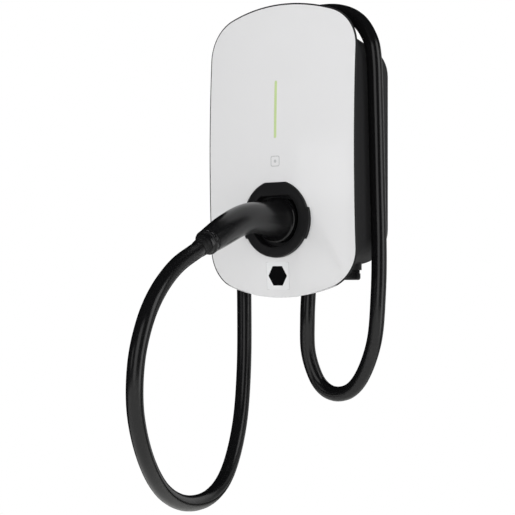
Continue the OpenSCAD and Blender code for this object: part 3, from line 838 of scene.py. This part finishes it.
    def studs(self) -> list[Piece]:
        """Screw studs on the panel's back, each a post on the cover with a pin through it.

        Returns:
            The posts and pins.
        """
        cover = -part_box("front_cover")[0].y
        seat, pin_end = cover + self.stud_seat, cover - self.pin_length
        made = []
        for x, z in [(side * w, h) for side in (-1, 1) for w, h in self.stud_at]:
            top = self.depth(x, z) - self.thickness / 2
            for radius, low, high in ((self.stud_radius, seat, top),
                                      (self.pin_radius, pin_end, seat + self.overlap)):
                stud = ground(primitive(
                    bpy.ops.mesh.primitive_cylinder_add, "stud", vertices=self.stud_sides,
                    radius=radius, depth=high - low,
                    location=(x, -(low + high) / 2, z), rotation=TO_FRONT))
                round_edges(stud, self.stud_round, 2, lambda at, normals: True, 60.0)
                made.append(stud)
        return made

    def true_normals(self, piece: Piece) -> None:
        """Gives the points of the face the exact directions of its curve, for clean reflections.

        Args:
            piece: The panel.
        """
        mesh = piece.data
        normals = [Vector(n.vector) for n in mesh.corner_normals]
        for face in mesh.polygons:
            if face.normal.y > -0.5:    # not on the front
                continue
            for corner in face.loop_indices:
                co = mesh.vertices[mesh.loops[corner].vertex_index].co
                if abs(co.y + self.depth(co.x, co.z)) < self.on_curve:
                    normals[corner] = self.normal(co.x, co.z)
        mesh.normals_split_custom_set(normals)

    def paint_shade_edge(self, piece: Piece) -> None:
        """Gives the flank and the back the dark carrier's finish, and paints the edge beside the
        rim dark as painted shade.

        Args:
            piece: The panel.
        """
        piece.data.materials.append(CARRIER_AND_PAINTED_EDGE.material())
        steep = -math.cos(math.radians(self.white_to))
        for face in piece.data.polygons:
            x, _, z = face.center
            share = self.painted_edge_share(z)
            inset, *_ = self.nearest(x, z)
            # Where the painted dark edge is the wider strip, this painted shade takes in the rim
            # beside it
            edged = inset < self.roll + self.edge * share if share > 0.5 else (
                self.roll < inset < self.roll + self.edge * share)
            if face.normal.y > steep or edged:
                face.material_index = 1

    def plate(self, name: str, outline: Sequence[Pair], lift: float,
              finish: Finish, cuts: int = 3) -> Piece:
        """Thin printed or stuck-on plate that follows the face.

        Args:
            name: Name of the piece.
            outline: Its corners, as x and z on the face.
            lift: Height of its top over the face.
            finish: Its finish.
            cuts: How finely it is divided to follow the face.

        Returns:
            The plate.
        """
        piece = ground(primitive(
            bpy.ops.mesh.primitive_circle_add, name, vertices=len(outline),
            radius=1, fill_type="TRIFAN", rotation=TO_FRONT))
        ring = [v for v in piece.data.vertices if v.co.length > 0.5]
        centre = [v for v in piece.data.vertices if v.co.length <= 0.5]
        ring.sort(key=lambda v: math.atan2(v.co.z, v.co.x))
        middle_x = sum(p[0] for p in outline) / len(outline)
        middle_z = sum(p[1] for p in outline) / len(outline)
        order = sorted(outline, key=lambda p: math.atan2(p[1] - middle_z, p[0] - middle_x))
        for point, (x, z) in zip(ring, order):
            point.co = (x, 0, z)
        for point in centre:
            point.co = (middle_x, 0, middle_z)
        edit(piece)
        bpy.ops.mesh.subdivide(number_cuts=cuts)
        leave()
        for point in piece.data.vertices:
            point.co = self.on_face(point.co.x, point.co.z, lift)
        return self.laid(piece, lift, finish)

    def laid(self, piece: Piece, lift: float, finish: Finish) -> Piece:
        """Turns a sheet on the face to the front, thickens it down into the face and dresses it.

        Args:
            piece: The sheet.
            lift: Height of its top over the face.
            finish: Its finish.

        Returns:
            The sheet.
        """
        edit(piece)
        bpy.ops.mesh.normals_make_consistent(inside=False)
        leave()
        if sum((face.normal.y * face.area for face in piece.data.polygons), 0.0) > 0:
            edit(piece)
            bpy.ops.mesh.flip_normals()
            leave()
        apply_modifier(piece, "SOLIDIFY", thickness=lift + self.overlap, offset=-1)
        smooth(piece)
        return dress(piece, finish, "panel_white")

    def frame_mark(self, name: str, outer: Sequence[Pair], inner: Sequence[Pair],
                   lift: float, finish: Finish) -> Piece:
        """Thin printed line between two outlines with the same number of corners.

        Args:
            name: Name of the piece.
            outer: Corners of the outer outline, as x and z on the face.
            inner: Corners of the inner one.
            lift: Height of the line over the face.
            finish: Its finish.

        Returns:
            The line.
        """
        piece = ground(primitive(
            bpy.ops.mesh.primitive_circle_add, name, vertices=len(outer),
            radius=1, fill_type="NOTHING", rotation=TO_FRONT))
        for point, (x, z) in zip(piece.data.vertices, outer):
            point.co = self.on_face(x, z, lift)
        edit(piece)
        bpy.ops.mesh.extrude_region_move()
        corners = [self.on_face(*corner, lift) for corner in outer]

        def inward(co: Vector) -> Vector:
            """The inner outline's corner that belongs to the outer one at a place."""
            near = min(range(len(outer)), key=lambda i: (corners[i] - co).length)
            return self.on_face(*inner[near], lift)

        move_chosen(piece, inward)
        leave()
        return self.laid(piece, lift, finish)

    @staticmethod
    def regular(z: float, radius: float, count: int) -> list[Pair]:
        """Outline of a regular polygon, anticlockwise from its right corner.

        Args:
            z: Height of its middle.
            radius: Distance of its corners from the middle.
            count: Number of corners.

        Returns:
            Its corners, as x and z.
        """
        return [on_circle(radius, math.tau * i / count, 0.0, z) for i in range(count)]

    @staticmethod
    def round_square(z: float, half: float, corner: float, count: int = 8) -> list[Pair]:
        """Outline of a square with round corners, anticlockwise from its right side.

        Args:
            z: Height of its middle.
            half: Half its width.
            corner: Radius of its corners.
            count: Steps round each corner.

        Returns:
            Its corners, as x and z.
        """
        points = []
        for sx, sz, start in ((1, 1, 0), (-1, 1, 90), (-1, -1, 180), (1, -1, 270)):
            for i in range(count + 1):
                points.append(on_circle(corner, math.radians(start + 90 * i / count),
                                        sx * (half - corner), z + sz * (half - corner)))
        return points

    def marks(self) -> None:
        """Reader sign over the holster, and the label with its hexagon under it."""
        self.frame_mark("reader_sign", *(self.round_square(self.sign_z, *line)
                                         for line in self.sign_line), self.ink_height, GREY_INK)
        self.plate("reader_dot", self.regular(self.sign_z, self.dot_radius, self.dot_corners),
                   self.ink_height, GREY_INK, cuts=1)
        square, inner = (self.round_square(self.label_z, *line, 2) for line in self.label_line)
        self.plate("label", square, self.ink_height, LABEL_FILM, cuts=6)
        self.frame_mark("label_edge", square, inner, self.label_line_height, GREY_INK)
        self.plate("label_hexagon", self.regular(self.label_z, self.hexagon_radius, 6),
                   self.hexagon_height, INK, cuts=5)

    def build(self) -> None:
        """Builds and dresses the panel and what lies on it."""
        shell = self.shell()
        cut(shell, self.light_slot())
        cut(shell, self.holster_hole())
        smooth(shell)
        self.true_normals(shell)
        dress(shell, FINISHES["panel_white"], "panel_white", "front_panel")
        self.paint_shade_edge(shell)
        backing = join(*self.ribs(), *self.studs())
        backing.name = "panel_ribs"
        smooth(backing)
        dress(backing, FINISHES["panel_white"], "panel_white", "front_panel")
        self.marks()


# ---- Housing, holster and plug ----

@dataclass
class Enclosure:
    """Moulded housing, drafted towards the wall, with its rear edge rounded."""

    rear_round: float = 2.2 * MM
    rear_steps: int = 4
    rear_reach: float = 0.5 * MM
    outer_share: float = 0.3

    def build(self) -> None:
        """Builds and dresses the housing."""
        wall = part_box("housing")[1].y

        def rear_edge(at: Vector, normals: list[Vector]) -> bool:
            """True on the outer edge at the wall, where a face looks away from the middle."""
            away = self.outer_share * math.hypot(at.x, at.z)
            outer = any(n.x * at.x + n.z * at.z > away for n in normals)
            return outer and at.y > wall - self.rear_reach

        housing = copy_of("housing", "housing_shell")
        round_edges(housing, self.rear_round, self.rear_steps, rear_edge)
        smooth(housing)
        apply_modifier(housing, "WEIGHTED_NORMAL", mode="FACE_AREA", weight=50, keep_sharp=True)
        dress(housing, FINISHES["housing_charcoal"], "housing_charcoal", "housing")


@dataclass
class Holster:
    """Ring that holds the plug, with its recess."""

    ring_round: float = 1.1 * MM
    ring_steps: int = 3
    ring_reach: float = 0.2 * MM
    least_edge: float = 40.0

    def build(self) -> None:
        """Builds and dresses the holster's ring."""
        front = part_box("holster")[0].y
        refine("holster", "holster_black", "holster_ring", self.ring_round, self.ring_steps,
               lambda at, normals: at.y < front + self.ring_reach, self.least_edge)


@dataclass
class Plug:
    """Vehicle plug: grip, nose, clamp nut and cable boot."""

    grip_levels: int = 2
    end_angle: float = math.radians(60)
    grip_smooth: float = 50.0
    nut_round: float = 0.35 * MM
    nose_round: float = 0.6 * MM
    round_steps: int = 2

    def grip(self) -> Piece:
        """Makes the smooth grip from the frame's sections, with its two ends kept sharp.

        Returns:
            The grip.
        """
        piece = copy_of("plug_handle", "plug_grip")
        edit(piece)
        bpy.ops.mesh.tris_convert_to_quads(face_threshold=self.end_angle,
                                           shape_threshold=self.end_angle)
        choose_edges(piece, lambda edge: len(edge.link_faces) == 2
                     and edge.calc_face_angle(0.0) > self.end_angle)
        bpy.ops.transform.edge_crease(value=1.0)
        leave()
        apply_modifier(piece, "SUBSURF", levels=self.grip_levels, render_levels=self.grip_levels)
        smooth(piece, self.grip_smooth)
        return dress(piece, FINISHES["plug_black"], "plug_black", "plug_handle")

    def build(self) -> list[Piece]:
        """Builds and dresses the plug.

        Returns:
            The pieces that go with the cable.
        """
        return [self.grip(),
                refine("clamp_nut", "plug_black", "clamp_ring", self.nut_round, self.round_steps),
                refine("cable_boot", "boot_rubber", "boot", self.nut_round, self.round_steps),
                refine("plug_nose", "plug_black", "nose", self.nose_round, self.round_steps),
                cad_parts["plug_contacts"]]


# ---- Cable ----

@dataclass
class ChargingCable:
    """Tethered cable, hanging in a loop round the housing, and the glands under it."""

    diameter: float = 18.5 * MM
    steps: int = 12
    round_steps: int = 10
    gland_round: float = 0.5 * MM
    gland_steps: int = 2
    route: tuple[tuple[int, int, int], ...] = (
        (0, -42, -168), (-3, -40, -203), (-8, -31, -243), (-2, -24, -274), (10, -22, -290),
        (27, -22, -296), (46, -22, -292), (62, -23, -278), (77, -26, -253), (89, -31, -222),
        (97, -38, -180), (101, -42, -125), (101, -46, -30), (101, -50, 60), (101, -54, 110),
        (95, -54, 134), (79, -54, 156), (52, -53, 169), (16, -52, 172), (-22, -51, 168),
        (-57, -50, 159), (-85, -48, 141), (-101, -46, 115), (-103, -44, 78), (-102, -42, 20),
        (-101, -42, -80), (-98, -43, -188), (-93, -51, -271), (-84, -73, -339), (-73, -112, -391),
        (-60, -164, -413), (-46, -227, -411), (-30, -287, -388), (-13, -336, -347), (0, -368, -295),
        (9, -378, -243), (12, -368, -200), (10, -344, -167), (6, -308, -140), (3, -266, -121))

    def line(self) -> list[Vector]:
        """Draws one smooth curve through the points of the route.

        Returns:
            The points of the cable's middle line.
        """
        p = [Vector(point) * MM for point in self.route]
        p = [2 * p[0] - p[1], *p, 2 * p[-1] - p[-2]]
        points = []
        for a, b, c, d in zip(p, p[1:], p[2:], p[3:]):
            for i in range(self.steps):
                t = i / self.steps
                points.append(0.5 * (2 * b + (c - a) * t + (2 * a - 5 * b + 4 * c - d) * t * t
                                     + (3 * b - a - 3 * c + d) * t ** 3))
        return [*points, p[-2]]

    def build(self, carried: list[Piece]) -> None:
        """Args:
            carried: The pieces of the plug at its end; not used.
        """
        line = self.line()
        curve = bpy.data.curves.new("cable", "CURVE")
        curve.dimensions = "3D"
        curve.bevel_depth = self.diameter / 2
        curve.bevel_resolution = self.round_steps
        curve.use_fill_caps = True
        spline = curve.splines.new("POLY")
        spline.points.add(len(line) - 1)
        for point, place in zip(spline.points, line):
            point.co = (*place, 1.0)
        spline.use_smooth = True
        piece = bpy.data.objects.new("cable", curve)
        bpy.context.scene.collection.objects.link(piece)
        dress(piece, FINISHES["cable_black"], "cable_black", "charging_cable")
        for node in ("output_gland", "output_gland_nut", "supply_gland", "supply_gland_nut"):
            refine(node, "gland_black", node + "_moulded", self.gland_round, self.gland_steps)


# ---- Inside ----

@dataclass(frozen=True)
class Fittings:
    """Frame nodes that keep their shape, each with its slot's finish."""

    slots: tuple[tuple[str, tuple[str, ...]], ...] = (
        ("light_green", ("light_bar",)),
        ("housing_charcoal", ("front_cover",)),
        ("seal_rubber", ("cover_seal", "output_gland_seal", "supply_gland_seal")),
        ("gland_black", ("output_locknut", "supply_locknut")),
        ("bracket_steel", ("wall_bracket",)),
        ("screw_steel", ("cover_screws", "holster_screws", "bracket_screws", "board_screws")),
        ("contact_silver", ("plug_contacts",)),
        ("board_green", ("light_board", "reader_board", "main_board")),
        ("relay_blue", ("relays",)),
        ("terminal_grey", ("supply_terminals", "output_terminals")),
        ("sensor_black", ("current_sensor",)),
        ("supply_yellow", ("power_supply",)),
        ("capacitor_sleeve", ("capacitors",)),
        ("shield_steel", ("radio_module",)),
        ("cable_black", ("output_leads",)))

    def build(self) -> None:
        """Dresses every node that the frame shows itself."""
        for slot, nodes in self.slots:
            for node in nodes:
                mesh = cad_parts[node].data
                if not mesh.materials:
                    mesh.materials.append(None)
                for index in range(len(mesh.materials)):
                    mesh.materials[index] = FINISHES[slot].material()
                log.info("%s: %s", node, FINISHES[slot].surface.value)


# ---- Studio ----

@dataclass(frozen=True)
class Screen:
    """Flat screen that faces the charger: a soft light, or a black flag if it gives none.

    Attributes:
        name: Its name.
        azimuth: Degrees from straight in front, towards the right.
        elevation: Degrees over the horizon.
        distance: Distance from the middle of the charger.
        size: Width and height.
        radiance: Brightness of its face, where 1 is white.
        reflected: Whether glossy surfaces show it.
    """

    name: str
    azimuth: float
    elevation: float
    distance: float
    size: Pair
    radiance: float = 0.0
    reflected: bool = True

    def stand(self, middle: Vector) -> tuple[Vector, Euler]:
        """Works out where the screen stands.

        Args:
            middle: The middle of the charger.

        Returns:
            Its place, and the turn that points its -Z at the charger.
        """
        a, e = math.radians(self.azimuth), math.radians(self.elevation)
        away = Vector((math.sin(a) * math.cos(e), -math.cos(a) * math.cos(e), math.sin(e)))
        return middle + away * self.distance, (-away).to_track_quat("-Z", "Y").to_euler()


@dataclass
class Studio:
    """Camera, pale floor, soft lights and black flags."""

    camera_at: tuple[float, float, float] = (0.9264, -1.4391, -0.155)
    turn: float = 35.70
    lens: float = 94.58
    lift: float = 0.0437
    sensor: float = 36.0
    middle: tuple[float, float, float] = (0.0, -0.1, -0.05)
    aside: float = -0.0005
    floor_z: float = -1.1
    floor_size: float = 60.0
    floor_fade: Pair = (0.5, 1.4)
    low_light: float = 0.06
    face_power: float = 4.0     # watts from each square metre of a screen of radiance 1
    lamps: tuple[Screen, ...] = (
        # Soft bright rectangle on the panel
        Screen("low softbox", -19.4, -1.75, 2.2, (0.62, 0.72), 0.6),
        # The two bands along the cable
        Screen("tall softbox", 28, 0, 2.3, (1.2, 2.6), 0.9),
        Screen("side strip", 102, 0, 1.8, (1.0, 2.8), 1.35),
        # Even light from all round, which no surface mirrors
        Screen("key", -22, 1, 2.4, (2.0, 1.8), 2.15, False),
        Screen("side fill", 55, 0, 2.0, (1.2, 1.8), 1.6, False),
        Screen("left fill", -105, 5, 1.4, (1.0, 1.4), 2.5, False),
        Screen("back fill", 180, 10, 1.6, (1.4, 1.4), 1.6, False),
        # Sheen on the bracket and along the housing's side
        Screen("back softbox", 180, 0, 1.7, (0.9, 1.4), 0.4),
        Screen("grazing softbox", 144, 0, 1.65, (0.7, 1.4), 0.3),
        Screen("top fill", 0, 87, 1.45, (1.4, 1.4), 1.8, False))
    # A closed ring with a lid, so that dark gloss mirrors black between the lights
    flags: tuple[Screen, ...] = (
        Screen("front flag", -25, 0, 3.2, (5.2, 6.0)),
        Screen("front right flag", 50, 0, 2.8, (4.4, 6.0)),
        Screen("right flag", 105, 0, 2.4, (2.4, 5.0)),
        Screen("back right flag", 152, 0, 1.9, (2.1, 4.0)),
        Screen("left flag", -95, 0, 1.6, (2.4, 4.0)),
        Screen("back left flag", -150, 0, 1.9, (2.2, 4.0)),
        Screen("top flag", 0, 88, 1.6, (4.4, 4.4)))

    def camera(self) -> None:
        """Long lens, level, a little below the middle of the panel."""
        data = bpy.data.cameras.new("camera")
        data.lens, data.sensor_width = self.lens, self.sensor
        data.shift_x, data.shift_y = self.aside, self.lift
        camera = bpy.data.objects.new("camera", data)
        camera.location = self.camera_at
        camera.rotation_euler = Euler((math.pi / 2, 0, math.radians(self.turn)))
        bpy.context.scene.collection.objects.link(camera)
        bpy.context.scene.camera = camera

    def softbox(self, screen: Screen) -> None:
        """Sets up a soft rectangular light.

        Args:
            screen: Its place, size and brightness.
        """
        data = bpy.data.lights.new(screen.name, "AREA")
        data.shape = "RECTANGLE"
        data.size, data.size_y = screen.size
        data.energy = screen.radiance * self.face_power * screen.size[0] * screen.size[1]
        light = bpy.data.objects.new(screen.name, data)
        light.location, light.rotation_euler = screen.stand(Vector(self.middle))
        light.visible_camera = False
        light.visible_glossy = screen.reflected
        bpy.context.scene.collection.objects.link(light)

    def flag(self, screen: Screen) -> None:
        """Sets up a black cloth on a frame, out of the camera's sight, that darkens reflections.

        Args:
            screen: Its place and size.
        """
        place, turn = screen.stand(Vector(self.middle))
        card = primitive(bpy.ops.mesh.primitive_plane_add, screen.name, size=1,
                         location=place, rotation=turn)
        card.scale = (*screen.size, 1.0)
        ground(card)
        cloth = bpy.data.materials.get("black cloth") or bpy.data.materials.new("black cloth")
        cloth.use_nodes = True
        shader = cloth.node_tree.nodes["Principled BSDF"]
        shader.inputs["Base Color"].default_value = linear("#050505")
        shader.inputs["Roughness"].default_value = 1.0
        shader.inputs["Specular IOR Level"].default_value = 0.0
        card.data.materials.append(cloth)
        card.visible_camera = False

    def floor(self) -> None:
        """Pale floor that fades into the white background away from the charger."""
        floor = ground(primitive(bpy.ops.mesh.primitive_plane_add, "floor",
                                 size=self.floor_size, location=(0, 0, self.floor_z)))
        material = bpy.data.materials.new("pale floor")
        material.use_nodes = True
        tree = material.node_tree
        tree.nodes.clear()
        place = add_node(tree, "TexCoord").outputs["Object"]
        flat = add_node(tree, "Mapping", inputs={
            "Vector": place, "Scale": (1.0, 1.0, 0.0)})
        away = add_node(tree, "VectorMath", {"operation": "LENGTH"}, {0: flat.outputs[0]})
        fade = add_node(tree, "MapRange", inputs={
            "Value": away.outputs["Value"],
            "From Min": self.floor_fade[0], "From Max": self.floor_fade[1]})
        seen = add_node(tree, "LightPath")
        share = add_node(tree, "Math", {"operation": "MULTIPLY"}, {
            0: fade.outputs[0], 1: seen.outputs["Is Camera Ray"]})
        matt = add_node(tree, "BsdfDiffuse", inputs={"Color": linear("#E6E6E4")})
        white = add_node(tree, "Emission", inputs={"Strength": 1.0})
        mixed = add_node(tree, "MixShader", inputs={
            0: share.outputs[0], 1: matt.outputs[0], 2: white.outputs[0]})
        add_node(tree, "OutputMaterial", inputs={"Surface": mixed.outputs[0]})
        floor.data.materials.append(material)

    def surroundings(self) -> None:
        """White for the camera and for reflections, and a low even light on everything."""
        world = bpy.data.worlds.new("studio")
        bpy.context.scene.world = world
        world.use_nodes = True
        tree = world.node_tree
        tree.nodes.clear()
        seen = add_node(tree, "LightPath")
        shine = add_node(tree, "Math", {"operation": "MAXIMUM"}, {
            0: seen.outputs["Is Camera Ray"], 1: seen.outputs["Is Glossy Ray"]})
        clear = add_node(tree, "Math", {"operation": "MAXIMUM"}, {
            0: shine.outputs[0], 1: seen.outputs["Is Transmission Ray"]})
        low, white = (
            add_node(tree, "Background", inputs={
                "Color": linear("#FFFFFF"), "Strength": strength})
            for strength in (self.low_light, 1.0))
        mixed = add_node(tree, "MixShader", inputs={
            0: clear.outputs[0], 1: low.outputs[0], 2: white.outputs[0]})
        add_node(tree, "OutputWorld", inputs={"Surface": mixed.outputs[0]})

    def build(self) -> None:
        """Sets up the whole studio."""
        bpy.context.scene.view_settings.view_transform = "Standard"
        self.camera()
        self.floor()
        self.surroundings()
        for lamp in self.lamps:
            self.softbox(lamp)
        for flag in self.flags:
            self.flag(flag)


def main() -> None:
    """Builds the studio and every sub-assembly."""
    logging.basicConfig(level=logging.INFO, format="%(name)s: %(message)s")
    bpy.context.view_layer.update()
    Studio().build()
    ChargingCable().build(Plug().build())
    FrontPanel().build()
    Enclosure().build()
    Holster().build()
    Fittings().build()
    deselect()


if __name__ == "__main__":
    main()
